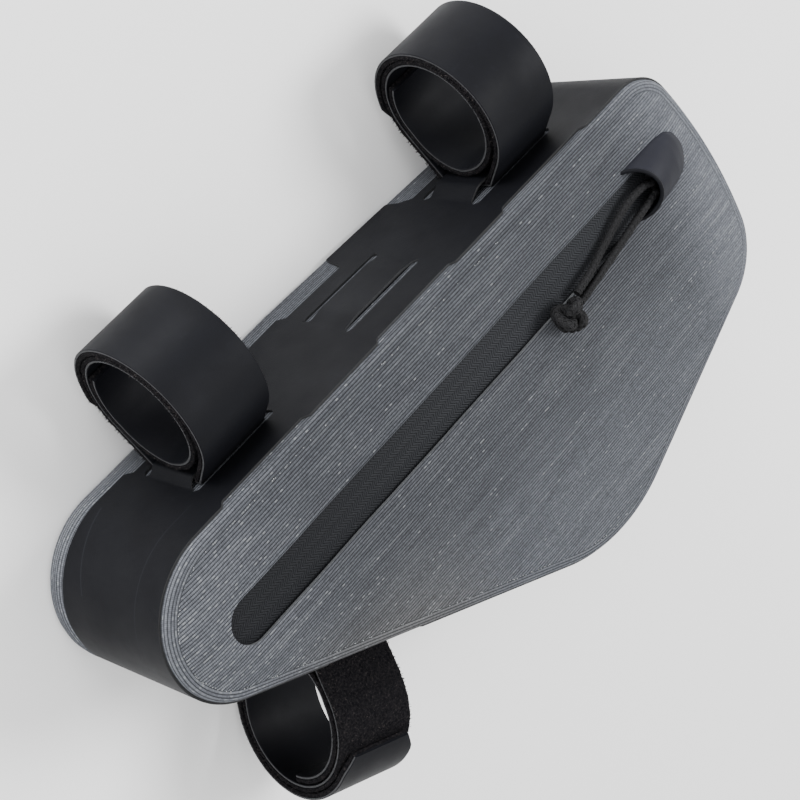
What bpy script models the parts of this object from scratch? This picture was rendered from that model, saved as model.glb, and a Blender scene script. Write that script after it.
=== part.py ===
"""Bicycle frame bag: a stuffed half-frame bag with welded side panels, a rubber band round its
rim, a water-resistant zip with a hooded park and three hook-and-loop straps wound into loops.

The bag lies on its plain side. +X runs along its top edge from the nose to the tail, +Y points
to the bicycle's top tube and +Z out of the zip side. The pieces are drawn in the bag's own
frame, with x from the nose, y up from the top edge and z from the middle plane, and are moved
at the end so that the origin lies under the middle of the whole object.
"""

import math
from collections import namedtuple

import bmesh
import bpy
from mathutils import Vector

# Bag body, in metres
LENGTH = 0.2779
HEIGHT = 0.13905
THICKNESS = 0.060
EDGE_RADIUS = 0.0022
GUSSET_WALL = 0.0016
PANEL_WALL = 0.0012
SEAM_LAP = 0.0018
PANEL_CROWN = 0.0020
# Shares of the way from the seam to the zip window; the crown is full at CROWN_SHARE
CROWN_SHARE = 0.8
PANEL_SHARES = (0.0, 0.12, 0.30, 0.55, CROWN_SHARE, 1.0)
GAP = 0.0003

# Side outline: the corners before rounding, as shares of LENGTH and HEIGHT, radius of HEIGHT
Corner = namedtuple("Corner", "name along drop radius")
CORNERS = (
    Corner("nose_top", 0.000, 0.000, 0.232),
    Corner("tail_top", 0.941, 0.000, 0.137),
    Corner("tail_middle", 0.997, 0.318, 1.407),
    Corner("tail_bottom", 1.000, 0.683, 0.192),
    Corner("lowest", 0.602, 1.000, 0.427),
    Corner("nose_bottom", 0.000, 0.337, 0.218),
)
# The most of an edge that the roundings at its two ends may take together
ROUNDING_SHARE = 0.98
ARC_STEP = math.radians(11)
ARC_CHORD = 0.009
EDGE_STEP = 0.012

# The plain side's rim is drawn in towards the tail's top corner, where the bag is thinner:
# where this starts as a share of LENGTH, and how far it goes
TAPER_START = 0.420
TAPER_INSET = 0.0067
# A strap follows the taper up to the first height over the edge, and from the second not at all
TAPER_HOLD = 0.0060
TAPER_FADE = 0.0200

# Rubber band round the rim; SLOT_SPACE is a strap slot's width in strap thicknesses
BAND_WALL = 0.0010
BAND_NEAR = 0.0274
BAND_FAR = 0.0210
NEAR_NOTCH = 0.0019
FAR_NOTCH = 0.0031
TAB_FAR = 0.0274
TAB_OVERLAP = 0.0064
NOTCH_RUN = 0.0025
SLOT_SPACE = 1.6
SPARE_NEAR_INNER = 0.0098
SPARE_FAR_INNER = 0.0068
SPARE_SLOT_WIDTH = 0.0030
SPARE_LIFT = 0.0007
BRIDGE_RAMP = 0.0012
BRIDGE_COLUMNS = (2, 3)

# Slot pairs along the top and bottom edges: centre as a share of the edge between its corners
SlotPair = namedtuple("SlotPair", "name edge centre length strap")
SLOT_PAIRS = (
    SlotPair("nose", "top", 0.2375, 0.0366, True),
    SlotPair("spare", "top", 0.5197, 0.0360, False),
    SlotPair("tail", "top", 0.7813, 0.0416, True),
    SlotPair("bottom", "bottom", 0.6280, 0.0366, True),
)
# The wide tab on the plain side starts beside the end of one slot pair and ends before another
TAB_AFTER, TAB_BEFORE = "spare", "tail"

# Straps
STRAP_WIDTH = 0.030
STRAP_THICK = 0.0024
STRAP_CORNER = 0.0110
TAB_CHAMFER = 0.0065
STRAP_STEP = math.radians(9)
# outer is the loop's outer radius; side is +1 where the hook half leaves by the slot on the
# zip side; the ends are angles in degrees from that side
Strap = namedtuple("Strap", "name slots shift outer side hook_end pile_end")
STRAPS = (
    Strap("strap_nose", "nose", 0.0, 0.0258, 1, 197, -215),
    Strap("strap_tail", "tail", 0.0043, 0.0258, 1, 193, -212),
    Strap("strap_bottom", "bottom", 0.0, 0.0286, -1, 166, -268),
)

# Zip
ZIP_DROP = 0.0329
ZIP_HALF = 0.0082
ZIP_START = 0.0205
ZIP_END = 0.2516
TAPE_WALL = 0.0010
TAPE_MARGIN = 0.0025
ZIP_ARC_STEPS = 8
SLIDER_LENGTH = 0.0085
SLIDER_WIDTH = 0.0090
SLIDER_HEIGHT = 0.0034
SLIDER_INSET = 0.0030

# Hood over the parked slider: shares of its length, half width and height
HOOD_MOUTH = 0.2302
HOOD_LENGTH = 0.0288
HOOD_DROP = 0.0311
HOOD_HALF = 0.0104
HOOD_HEIGHT = 0.0080
HOOD_WALL = 0.0010
HOOD_LEAN = 0.0075
HOOD_COLUMNS = 10
HoodRow = namedtuple("HoodRow", "name along width height")
HOOD_ROWS = (
    HoodRow("mouth", 0.00, 1.00, 1.00),
    HoodRow("crest", 0.30, 1.00, 0.86),
    HoodRow("slope", 0.62, 0.99, 0.66),
    HoodRow("shoulder", 0.84, 0.89, 0.42),
    HoodRow("heel", 0.96, 0.62, 0.24),
    HoodRow("tip", 1.00, 0.36, 0.19),
)

# Pull cord: two strands from the slider to a knot; x from the nose, y from the top edge and
# height of the centreline over the crowned panel, chosen by hand
CORD_RADIUS = 0.0015
CORD_STEP = 0.0068
CORD_ROUTES = {
    "pull_cord_upper": (
        (0.2392, -0.0314, 0.0026),
        (0.2340, -0.0300, 0.0022),
        (0.2240, -0.0312, 0.0012),
        (0.2090, -0.0362, 0.0008),
        (0.1990, -0.0384, 0.0019),
        (0.1895, -0.0398, 0.0024),
    ),
    "pull_cord_lower": (
        (0.2392, -0.0354, 0.0026),
        (0.2335, -0.0368, 0.0021),
        (0.2240, -0.0384, 0.0020),
        (0.2110, -0.0408, 0.0020),
        (0.2000, -0.0424, 0.0021),
        (0.1895, -0.0436, 0.0024),
    ),
}
KNOT_PLACE = (0.1807, -0.0417)
KNOT_SIZE = (0.0165, 0.0140, 0.0100)

HALF = THICKNESS / 2
SEAM_INSET = EDGE_RADIUS + SEAM_LAP
SLOT_INNER = STRAP_CORNER - STRAP_THICK / 2
SLOT_WIDTH = SLOT_SPACE * STRAP_THICK
PANEL_TOP = HALF + PANEL_CROWN
TAPE_TOP = PANEL_TOP - PANEL_WALL - GAP

Station = namedtuple("Station", "point normal edge distance")


# Shared helpers
def clear_scene():
    for thing in list(bpy.data.objects):
        bpy.data.objects.remove(thing, do_unlink=True)


def make_material(name, color, roughness, metallic=0.0):
    material = bpy.data.materials.new(name)
    material.use_nodes = True
    shader = material.node_tree.nodes["Principled BSDF"]
    shader.inputs["Base Color"].default_value = (*color, 1.0)
    shader.inputs["Roughness"].default_value = roughness
    shader.inputs["Metallic"].default_value = metallic
    return material


def add_object(name, bm, material, smooth_angle=35):
    bmesh.ops.recalc_face_normals(bm, faces=bm.faces)
    mesh = bpy.data.meshes.new(name)
    bm.to_mesh(mesh)
    bm.free()
    mesh.materials.append(material)
    mesh.shade_smooth()
    mesh.set_sharp_from_angle(angle=math.radians(smooth_angle))
    thing = bpy.data.objects.new(name, mesh)
    bpy.context.scene.collection.objects.link(thing)
    return thing


def thick_sheet(name, rows, material, closed=False, missing=()):
    """A solid from a grid of (outer, inner) point pairs; cells in missing are left open."""
    bm = bmesh.new()
    made = {}

    def vertex(i, j, side):
        key = (i, j, side)
        if key not in made:
            made[key] = bm.verts.new(rows[i][j][side])
        return made[key]

    count, columns = len(rows), len(rows[0])
    last = count if closed else count - 1
    cells = {(i, j) for i in range(last) for j in range(columns - 1)} - set(missing)
    for i, j in sorted(cells):
        k = (i + 1) % count
        corners = ((i, j), (k, j), (k, j + 1), (i, j + 1))
        for side in (0, 1):
            bm.faces.new([vertex(a, b, side) for a, b in corners])
        before = (i - 1) % count if closed else i - 1
        after = k if closed else i + 1
        neighbours = ((i, j - 1), (after, j), (i, j + 1), (before, j))
        for n, neighbour in enumerate(neighbours):
            if neighbour in cells:
                continue
            a, b = corners[n], corners[(n + 1) % 4]
            bm.faces.new([vertex(*a, 0), vertex(*a, 1), vertex(*b, 1), vertex(*b, 0)])
    return add_object(name, bm, material)


def prism(name, points, low, high, material):
    """A flat plate with the given outline between two heights."""
    bm = bmesh.new()
    floor = [bm.verts.new((x, y, low)) for x, y in points]
    face = bm.faces.new(floor)
    made = bmesh.ops.extrude_face_region(bm, geom=[face])
    moved = [v for v in made["geom"] if isinstance(v, bmesh.types.BMVert)]
    bmesh.ops.translate(bm, verts=moved, vec=(0, 0, high - low))
    return add_object(name, bm, material)


# Side outline
def corner_points():
    return [Vector((c.along * LENGTH, -c.drop * HEIGHT)) for c in CORNERS]


def corner_turn(index):
    """The angle that the outline turns at a corner."""
    points = corner_points()
    here = points[index]
    into = (here - points[index - 1]).normalized()
    out = (points[(index + 1) % len(points)] - here).normalized()
    return into.angle(out)


def full_setback(index):
    return CORNERS[index].radius * HEIGHT * math.tan(corner_turn(index) / 2)


def arc_setback(index):
    """How far from a corner its rounding starts, cut short where a neighbour's would meet it."""
    points = corner_points()
    full = full_setback(index)
    limits = [full]
    for near in (index - 1, (index + 1) % len(points)):
        edge = (points[near] - points[index]).length
        limits.append(ROUNDING_SHARE * edge * full / (full + full_setback(near)))
    return min(limits)


def edge_frame(start_name):
    """Start corner, direction, length and outward normal of the edge after a named corner."""
    names = [c.name for c in CORNERS]
    index = names.index(start_name)
    points = corner_points()
    start, end = points[index], points[(index + 1) % len(points)]
    along = (end - start).normalized()
    return start, along, (end - start).length, Vector((-along.y, along.x))


EDGE_STARTS = {"top": "nose_top", "bottom": "lowest"}


def pair_range(pair):
    """Where a slot pair starts and ends along its edge."""
    length = edge_frame(EDGE_STARTS[pair.edge])[2]
    middle = pair.centre * length
    return middle - pair.length / 2, middle + pair.length / 2


def tab_range():
    """Where the plain side's wide tab has its full width along the top edge."""
    named = {pair.name: pair for pair in SLOT_PAIRS}
    low = pair_range(named[TAB_AFTER])[1] - TAB_OVERLAP
    return low, pair_range(named[TAB_BEFORE])[0] - 2 * NOTCH_RUN


def extra_stations(edge_start):
    """Distances along an edge at which the band changes its width or has a slot's end."""
    wanted = []
    for pair in SLOT_PAIRS:
        if EDGE_STARTS[pair.edge] != edge_start:
            continue
        low, high = pair_range(pair)
        middle = (low + high) / 2
        wanted += [low - NOTCH_RUN, low, low + BRIDGE_RAMP, middle]
        wanted += [high - BRIDGE_RAMP, high, high + NOTCH_RUN]
    if edge_start == EDGE_STARTS["top"]:
        low, high = tab_range()
        wanted += [low - NOTCH_RUN, low, high]
    return wanted


def outline_stations():
    """Points and outward normals round the side outline, clockwise from the nose's top."""
    stations = []
    for index, corner in enumerate(CORNERS):
        start, along, length, normal = edge_frame(corner.name)
        following = (index + 1) % len(CORNERS)
        first, last = arc_setback(index), arc_setback(following)
        extras = extra_stations(corner.name)
        distances = [first, *sorted(extras), length - last]
        filled = [distances[0]]
        for d in distances[1:]:
            pieces = max(1, math.ceil((d - filled[-1]) / EDGE_STEP))
            base = filled[-1]
            filled += [base + (d - base) * (n + 1) / pieces for n in range(pieces)]
        for d in filled:
            stations.append(Station(start + along * d, normal, corner.name, d))
        turn = corner_turn(following)
        radius = last / math.tan(turn / 2)
        centre = stations[-1].point - normal * radius
        pieces = max(2, math.ceil(turn / ARC_STEP), math.ceil(radius * turn / ARC_CHORD))
        for n in range(1, pieces):
            angle = math.atan2(normal.y, normal.x) - turn * n / pieces
            out = Vector((math.cos(angle), math.sin(angle)))
            stations.append(Station(centre + out * radius, out, "", 0.0))
    return stations


def taper_at(point, z):
    """How far the rim is drawn in at a height, from nothing at the zip side."""
    top = CORNERS[1].along
    along = (point.x / LENGTH - TAPER_START) / (top - TAPER_START)
    upper = 1 + point.y / (CORNERS[3].drop * HEIGHT)
    share = min(1.0, max(0.0, along)) * max(0.0, upper)
    return TAPER_INSET * share * (HALF - z) / THICKNESS


def inset_point(station, inset, z):
    place = station.point - station.normal * (inset + taper_at(station.point, z))
    return Vector((place.x, place.y, z))


# Bag body
def gusset_profile():
    """Closed cross-section of the rim as (inset, z) points, from the zip side to the plain."""
    arc_steps = 3
    outer = [(SEAM_INSET, HALF)]
    for n in range(arc_steps + 1):
        angle = math.pi / 2 * n / arc_steps
        inset = EDGE_RADIUS * (1 - math.sin(angle))
        outer.append((inset, HALF - EDGE_RADIUS * (1 - math.cos(angle))))
    inner_radius = EDGE_RADIUS - GUSSET_WALL
    inner = [(SEAM_INSET, HALF - GUSSET_WALL)]
    for n in range(arc_steps + 1):
        angle = math.pi / 2 * n / arc_steps
        inset = EDGE_RADIUS - inner_radius * math.sin(angle)
        inner.append((inset, HALF - EDGE_RADIUS + inner_radius * math.cos(angle)))
    half_loop = inner[::-1] + outer
    lower = [(inset, -z) for inset, z in half_loop[::-1]]
    return half_loop + lower


def build_gusset(stations, material):
    profile = gusset_profile()
    bm = bmesh.new()
    rings = [[bm.verts.new(inset_point(s, d, z)) for d, z in profile] for s in stations]
    for ring, following in zip(rings, rings[1:] + rings[:1]):
        for k in range(len(profile)):
            n = (k + 1) % len(profile)
            bm.faces.new((ring[k], ring[n], following[n], following[k]))
    return add_object("gusset", bm, material)


def window_point(x, y):
    """The nearest point of the zip window's edge."""
    centre_x = min(max(x, ZIP_START + ZIP_HALF), ZIP_END - ZIP_HALF)
    centre = Vector((centre_x, -ZIP_DROP))
    return centre + (Vector((x, y)) - centre).normalized() * ZIP_HALF


def build_zip_side(stations, material):
    """The crowned side panel, from its seam to the edge of the zip window."""
    rows = []
    for station in stations:
        border = station.point - station.normal * (SEAM_INSET + GAP)
        edge = window_point(border.x, border.y)
        row = []
        for share in PANEL_SHARES:
            place = border.lerp(edge, share)
            rise = min(1.0, share / CROWN_SHARE)
            z = HALF + PANEL_CROWN * math.sin(rise * math.pi / 2)
            top = Vector((place.x, place.y, z))
            row.append((top, top - Vector((0, 0, PANEL_WALL))))
        rows.append(row)
    return thick_sheet("zip_side_panel", rows, material, closed=True)


def build_plain_side(stations, material):
    border = [inset_point(s, SEAM_INSET + GAP, -HALF) for s in stations]
    points = [(p.x, p.y) for p in border]
    return prism("plain_side_panel", points, -HALF, PANEL_WALL - HALF, material)


# Rubber band
def rim_point(station, across, offset):
    """A point over the rim, across from the middle plane and offset outwards from the gusset."""
    return inset_point(station, -offset, across)


def slot_pair_at(station):
    """The slot pair whose narrowed stretch of band holds this station, or None."""
    for pair in SLOT_PAIRS:
        low, high = pair_range(pair)
        if EDGE_STARTS[pair.edge] == station.edge:
            if low - 1e-9 <= station.distance <= high + 1e-9:
                return pair
    return None


def band_edges(station, pair):
    """How far the band reaches to the zip side and to the plain side."""
    near = BAND_NEAR - (NEAR_NOTCH if pair else 0.0)
    far = BAND_FAR - (FAR_NOTCH if pair else 0.0)
    low, high = tab_range()
    if station.edge == EDGE_STARTS["top"] and low - 1e-9 <= station.distance <= high + 1e-9:
        far = TAB_FAR
    return near, far


def build_band(stations, material):
    """The band with its notched edges, cut slots and the bridges raised between them."""
    rows, missing = [], []
    pairs = [slot_pair_at(s) for s in stations]
    for i, station in enumerate(stations):
        pair = pairs[i]
        near, far = band_edges(station, pair)
        spare = bool(pair) and not pair.strap
        inner = SPARE_NEAR_INNER if spare else SLOT_INNER
        far_inner = SPARE_FAR_INNER if spare else SLOT_INNER
        width = SPARE_SLOT_WIDTH if spare else SLOT_WIDTH
        lift = 0.0
        if pair:
            low, high = pair_range(pair)
            inside = low + 1e-6 < station.distance < high - 1e-6
            full = SPARE_LIFT if spare else STRAP_THICK + GAP
            lift = full if inside else 0.0
        columns = (-far, -far_inner - width, -far_inner, inner, inner + width, near)
        row = []
        for j, across in enumerate(columns):
            rise = GAP + (lift if j in BRIDGE_COLUMNS else 0.0)
            outer = rim_point(station, across, rise + BAND_WALL)
            row.append((outer, rim_point(station, across, rise)))
        rows.append(row)
        following = pairs[(i + 1) % len(stations)]
        if pair and following is pair:
            missing += [(i, BRIDGE_COLUMNS[0] - 1), (i, BRIDGE_COLUMNS[1])]
    return thick_sheet("rim_band", rows, material, closed=True, missing=missing)


# Straps
def tangent_angle(point, centre, radius, turn):
    """Angle of the point where a line from outside touches a circle."""
    away = point - centre
    return math.atan2(away.y, away.x) + turn * math.acos(radius / away.length)


def arc_path(centre, angles, radii):
    """Points on a spiral arc between two angles and two radii."""
    start, end = angles
    pieces = max(1, math.ceil(abs(end - start) / STRAP_STEP))
    path = []
    for n in range(pieces + 1):
        share = n / pieces
        angle = start + (end - start) * share
        radius = radii[0] + (radii[1] - radii[0]) * share
        path.append(centre + Vector((math.cos(angle), math.sin(angle))) * radius)
    return path


def strap_path(strap):
    """Centreline in the loop's plane, from the hook end round to the pile end."""
    pitch = STRAP_THICK + GAP
    base = GAP + STRAP_THICK / 2
    corner = Vector((STRAP_CORNER, base))
    outer_radius = strap.outer - STRAP_THICK / 2
    outer_centre = Vector((0.0, strap.outer + GAP))
    low = base + pitch + BAND_WALL + GAP
    high = outer_centre.y + outer_radius - pitch
    middle_radius = (high - low) / 2
    middle_centre = Vector((0.0, (high + low) / 2))
    inner_radius = middle_radius - pitch - GAP
    rise = tangent_angle(corner, outer_centre, outer_radius, 1)
    other = Vector((-corner.x, corner.y))
    fall = tangent_angle(other, middle_centre, middle_radius, -1) + 2 * math.pi
    hook_end, pile_end = math.radians(strap.hook_end), math.radians(strap.pile_end)
    path = arc_path(outer_centre, (hook_end, rise), (outer_radius, outer_radius))
    path += [corner, other]
    path += arc_path(middle_centre, (fall, -math.pi / 2), (middle_radius, middle_radius))
    tucked = math.radians(-150)
    path += arc_path(middle_centre, (-math.pi / 2, tucked), (middle_radius, inner_radius))[1:]
    path += arc_path(middle_centre, (tucked, pile_end), (inner_radius, inner_radius))[1:]
    return path


def path_offsets(path):
    """Side vectors that keep a ribbon's thickness along its centreline, corners included."""
    sides = []
    for n, point in enumerate(path):
        before = path[max(n - 1, 0)]
        after = path[min(n + 1, len(path) - 1)]
        into = (point - before) if n else (after - point)
        out = (after - point) if n < len(path) - 1 else into
        into, out = into.normalized(), out.normalized()
        mean = (into + out).normalized()
        side = Vector((-mean.y, mean.x))
        sides.append(side / max(0.5, side.dot(Vector((-into.y, into.x)))))
    return sides


def strap_place(strap):
    """Base point, direction along the edge and outward normal where a strap sits."""
    pair = next(p for p in SLOT_PAIRS if p.name == strap.slots)
    start, along, _, normal = edge_frame(EDGE_STARTS[pair.edge])
    low, high = pair_range(pair)
    return start + along * ((low + high) / 2 + strap.shift), along, normal


def sink_share(height):
    return min(1.0, max(0.0, (TAPER_FADE - height) / (TAPER_FADE - TAPER_HOLD)))


def build_strap(strap, material):
    base, along, normal = strap_place(strap)
    path = strap_path(strap)
    sides = path_offsets(path)
    rows = []
    run = 0.0
    for n, (point, side) in enumerate(zip(path, sides)):
        if n:
            run += (point - path[n - 1]).length
        half = STRAP_WIDTH / 2 - max(0.0, TAB_CHAMFER - run) / 2
        row = []
        for across in (-half, half):
            pair = []
            for sign in (1, -1):
                p = point + side * (sign * STRAP_THICK / 2)
                spot, z = base + along * across, strap.side * p.x
                sink = taper_at(spot, z) * sink_share(p.y)
                flat = spot + normal * (p.y - sink)
                pair.append(Vector((flat.x, flat.y, z)))
            row.append(tuple(pair))
        rows.append(row)
    return thick_sheet(strap.name, rows, material)


# Zip
def half_stadium(margin, sign):
    """One half of the tape's outline, on the side of the zip's centreline that sign gives."""
    radius = ZIP_HALF + margin
    left, right = ZIP_START + ZIP_HALF, ZIP_END - ZIP_HALF
    split = GAP / 2
    points = [(left - radius, split), (right + radius, split)]
    for centre, first in ((right, 0), (left, math.pi / 2)):
        for n in range(ZIP_ARC_STEPS + 1):
            angle = first + math.pi / 2 * n / ZIP_ARC_STEPS
            y = max(split + GAP, radius * math.sin(angle))
            points.append((centre + radius * math.cos(angle), y))
    return [(x, sign * y - ZIP_DROP) for x, y in points]


def build_zip(fabric, metal):
    low = TAPE_TOP - TAPE_WALL
    prism("zip_tape_upper", half_stadium(TAPE_MARGIN, 1), low, TAPE_TOP, fabric)
    prism("zip_tape_lower", half_stadium(TAPE_MARGIN, -1), low, TAPE_TOP, fabric)
    right = ZIP_END - SLIDER_INSET
    left = right - SLIDER_LENGTH
    half, bevel = SLIDER_WIDTH / 2, SLIDER_WIDTH / 5
    base = -ZIP_DROP
    points = [
        (left, base - half + bevel),
        (left + bevel, base - half),
        (right - bevel, base - half),
        (right, base - half + bevel),
        (right, base + half - bevel),
        (right - bevel, base + half),
        (left + bevel, base + half),
        (left, base + half - bevel),
    ]
    low = TAPE_TOP + GAP
    prism("zip_slider", points, low, low + SLIDER_HEIGHT, metal)


def build_hood(material):
    """The arched rubber hood: each row is an arch that leans back towards the tail."""
    base = PANEL_TOP + GAP
    rows = []
    for hood_row in HOOD_ROWS:
        x = HOOD_MOUTH + hood_row.along * HOOD_LENGTH
        width = hood_row.width * HOOD_HALF
        height = hood_row.height * HOOD_HEIGHT
        lean = HOOD_LEAN * (1 - hood_row.along)
        inner_width = width - HOOD_WALL
        inner_height = height - HOOD_WALL
        row = []
        for j in range(HOOD_COLUMNS + 1):
            angle = math.pi * j / HOOD_COLUMNS
            up, side = math.sin(angle), math.cos(angle)
            place = x + lean * up
            outer = Vector((place, width * side - HOOD_DROP, base + height * up))
            inner = Vector((place, inner_width * side - HOOD_DROP, base + inner_height * up))
            row.append((outer, inner))
        rows.append(row)
    return thick_sheet("zip_hood", rows, material)


# Pull cord
def smooth_route(points, step):
    """Points about a step apart on a smooth curve through the route's own points."""
    controls = [Vector(p) for p in points]
    padded = [2 * controls[0] - controls[1], *controls, 2 * controls[-1] - controls[-2]]
    route = []
    for a, b, c, d in zip(padded, padded[1:], padded[2:], padded[3:]):
        pieces = max(1, round((c - b).length / step))
        for n in range(pieces):
            t = n / pieces
            route.append(
                0.5 * (2 * b + (c - a) * t + (2 * a - 5 * b + 4 * c - d) * t**2)
                + 0.5 * (3 * b - a - 3 * c + d) * t**3
            )
    return [*route, controls[-1]]


def build_cord(name, points, material):
    curve = bpy.data.curves.new(name, "CURVE")
    curve.dimensions = "3D"
    curve.bevel_depth = CORD_RADIUS
    curve.bevel_resolution = 2
    curve.use_fill_caps = True
    route = smooth_route([(x, y, PANEL_TOP + z) for x, y, z in points], CORD_STEP)
    spline = curve.splines.new("POLY")
    spline.points.add(len(route) - 1)
    for point, place in zip(spline.points, route):
        point.co = (*place, 1.0)
    curve.materials.append(material)
    thing = bpy.data.objects.new(name, curve)
    bpy.context.scene.collection.objects.link(thing)
    return thing


def build_knot(material):
    bm = bmesh.new()
    bmesh.ops.create_uvsphere(bm, u_segments=12, v_segments=8, radius=0.5)
    bmesh.ops.scale(bm, verts=bm.verts, vec=KNOT_SIZE)
    z = PANEL_TOP + GAP + KNOT_SIZE[2] / 2
    bmesh.ops.translate(bm, verts=bm.verts, vec=(*KNOT_PLACE, z))
    return add_object("pull_knot", bm, material, smooth_angle=60)


def settle():
    """Moves every piece so that the origin is under the middle of the whole object."""
    bpy.context.view_layer.update()
    corners = []
    for thing in bpy.context.scene.objects:
        corners += [thing.matrix_world @ Vector(corner) for corner in thing.bound_box]
    low = Vector([min(c[axis] for c in corners) for axis in range(3)])
    high = Vector([max(c[axis] for c in corners) for axis in range(3)])
    shift = Vector((-(low.x + high.x) / 2, -(low.y + high.y) / 2, -low.z))
    for thing in bpy.context.scene.objects:
        thing.location = thing.location + shift


def main():
    clear_scene()
    grey_fabric = make_material("grey_ribbed_fabric", (0.165, 0.190, 0.205), 0.75)
    plain_fabric = make_material("grey_plain_side", (0.150, 0.172, 0.188), 0.78)
    rubber = make_material("black_rubber", (0.027, 0.029, 0.034), 0.60)
    strap_fabric = make_material("strap_rubber_and_pile", (0.030, 0.032, 0.036), 0.70)
    tape = make_material("zip_tape_coating", (0.028, 0.030, 0.033), 0.50)
    metal = make_material("slider_metal", (0.060, 0.060, 0.065), 0.40, 0.9)
    cord = make_material("braided_cord", (0.018, 0.018, 0.020), 0.80)
    stations = outline_stations()
    build_gusset(stations, grey_fabric)
    build_zip_side(stations, grey_fabric)
    build_plain_side(stations, plain_fabric)
    build_band(stations, rubber)
    for strap in STRAPS:
        build_strap(strap, strap_fabric)
    build_zip(tape, metal)
    build_hood(rubber)
    for name, points in CORD_ROUTES.items():
        build_cord(name, points, cord)
    build_knot(cord)
    settle()


main()
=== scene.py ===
"""Looks of the bicycle frame bag: ribbed grey cloth, a rubber band, wound hook-and-loop straps,
a coated zip with its hood, and a braided pull cord. Everything is in metres in the row frame.
"""

import math
from collections import namedtuple

import bmesh
import bpy
import numpy as np
from mathutils import Matrix, Vector, noise


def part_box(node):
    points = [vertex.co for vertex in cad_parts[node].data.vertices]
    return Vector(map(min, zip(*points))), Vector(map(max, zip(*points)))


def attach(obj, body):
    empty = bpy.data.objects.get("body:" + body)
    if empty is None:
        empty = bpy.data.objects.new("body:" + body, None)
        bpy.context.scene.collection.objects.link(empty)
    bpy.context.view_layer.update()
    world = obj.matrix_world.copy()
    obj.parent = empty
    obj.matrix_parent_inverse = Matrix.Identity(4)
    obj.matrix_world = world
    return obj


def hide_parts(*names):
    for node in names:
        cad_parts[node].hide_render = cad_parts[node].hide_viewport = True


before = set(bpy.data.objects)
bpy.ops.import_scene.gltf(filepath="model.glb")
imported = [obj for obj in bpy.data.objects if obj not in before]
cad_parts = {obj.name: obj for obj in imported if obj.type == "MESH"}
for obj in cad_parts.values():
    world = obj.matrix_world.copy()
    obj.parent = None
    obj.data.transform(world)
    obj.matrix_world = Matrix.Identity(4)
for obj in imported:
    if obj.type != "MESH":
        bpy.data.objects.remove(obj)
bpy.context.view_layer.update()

# The bag's own frame: x from the nose, y up from the top edge, z from the middle plane
GUSSET_LOW, GUSSET_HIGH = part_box("gusset")
SHIFT = Vector((GUSSET_LOW.x, GUSSET_HIGH.y, (GUSSET_LOW.z + GUSSET_HIGH.z) / 2))

# Bag body
LENGTH = 0.2779
HEIGHT = 0.13905
HALF = (GUSSET_HIGH.z - GUSSET_LOW.z) / 2
EDGE_RADIUS = 0.0022
SEAM_INSET = 0.0040
PANEL_CROWN = 0.0020
CROWN_SHARE = 0.8
PANEL_WALL = 0.0009
PANEL_TOP = HALF + PANEL_CROWN
GAP = 0.0003

Corner = namedtuple("Corner", "name along drop radius")
CORNERS = (
    Corner("nose_top", 0.000, 0.000, 0.232),
    Corner("tail_top", 0.941, 0.000, 0.137),
    Corner("tail_middle", 0.997, 0.318, 1.407),
    Corner("tail_bottom", 1.000, 0.683, 0.192),
    Corner("lowest", 0.602, 1.000, 0.427),
    Corner("nose_bottom", 0.000, 0.337, 0.218),
)
ROUNDING_SHARE = 0.98
CLOTH_STEP = 0.0022
BAND_STEP = 0.0007

# The plain side's rim is drawn in towards the tail's top corner, and the straps follow it
TAPER_START = 0.420
TAPER_INSET = 0.0067
TAPER_HOLD = 0.0060
TAPER_FADE = 0.0200

# Rubber band
BAND_WALL = 0.0010
BAND_NEAR = 0.0274
BAND_FAR = 0.0210
NEAR_NOTCH = 0.0019
FAR_NOTCH = 0.0031
TAB_FAR = 0.0274
TAB_OVERLAP = 0.0064
NOTCH_RUN = 0.0025
SPARE_NEAR_INNER = 0.0098
SPARE_FAR_INNER = 0.0068
SPARE_SLOT_WIDTH = 0.0030
SPARE_LIFT = 0.0007
LONGEST_RAMP = 0.0075
# The shown sheet lies closer to the cloth than the solid does
BAND_REST = 0.0001
BAND_SHEET = 0.0008
SlotPair = namedtuple("SlotPair", "name edge centre length strap")
SLOT_PAIRS = (
    SlotPair("nose", "top", 0.2375, 0.0366, True),
    SlotPair("spare", "top", 0.5197, 0.0360, False),
    SlotPair("tail", "top", 0.7813, 0.0416, True),
    SlotPair("bottom", "bottom", 0.6280, 0.0366, True),
)
EDGE_STARTS = {"top": "nose_top", "bottom": "lowest"}

# Straps: a smooth rubber ply and a fuzzy ply
STRAP_WIDTH = 0.030
STRAP_THICK = 0.0024
STRAP_CORNER = 0.0110
TAB_CHAMFER = 0.0065
STRAP_STEP = math.radians(4)
RUBBER_PLY = 0.0010
Strap = namedtuple("Strap", "name slots shift outer side hook_end pile_end")
STRAPS = (
    Strap("strap_nose", "nose", 0.0, 0.0258, 1, 197, -215),
    Strap("strap_tail", "tail", 0.0043, 0.0258, 1, 193, -212),
    Strap("strap_bottom", "bottom", 0.0, 0.0286, -1, 166, -268),
)

SLOT_INNER = STRAP_CORNER - STRAP_THICK / 2
SLOT_WIDTH = 1.6 * STRAP_THICK

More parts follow.
